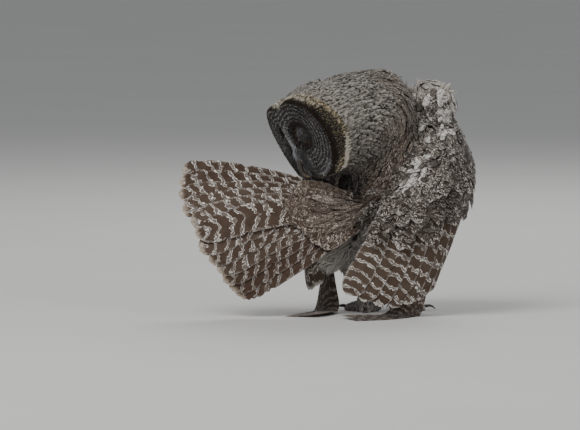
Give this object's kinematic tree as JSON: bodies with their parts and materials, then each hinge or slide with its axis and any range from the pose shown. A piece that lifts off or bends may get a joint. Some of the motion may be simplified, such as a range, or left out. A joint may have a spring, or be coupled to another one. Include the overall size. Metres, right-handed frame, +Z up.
{
  "type": "great grey owl",
  "caption": "Life-size great grey owl seen from behind, standing with its head turned back over one shoulder to preen its fanned tail, one wing drooped.",
  "frame": {"origin": "on the floor under the middle of the owl's bounding box", "axes": "+Z up, +Y away from the viewer towards the owl's breast side, -X towards the fanned tail"},
  "size_m": [0.4754, 0.2974, 0.3967],
  "materials": {
    "plumage": "soft mottled grey-brown feathers",
    "face": "fine dark grey feathers in rings",
    "flight": "brown vanes with pale wavy bars",
    "shank": "short pale down",
    "bill": "satin horn",
    "claw": "satin dark horn",
    "eye": "wet"
  },
  "bodies": {
    "root": {"torso": "plumage", "neck": "plumage", "head": "face", "eye_right": "eye", "eye_left": "eye", "bill_upper": "bill", "bill_lower": "bill", "tail": "flight", "wing_right": "flight", "wing_left": "flight", "leg_left": "shank", "foot_left": "shank", "claw_left_inner": "claw", "claw_left_middle": "claw", "claw_left_outer": "claw", "claw_left_back": "claw", "leg_right": "shank", "foot_right": "shank", "claw_right_inner": "claw", "claw_right_middle": "claw", "claw_right_outer": "claw", "claw_right_back": "claw"}
  },
  "joints": []
}
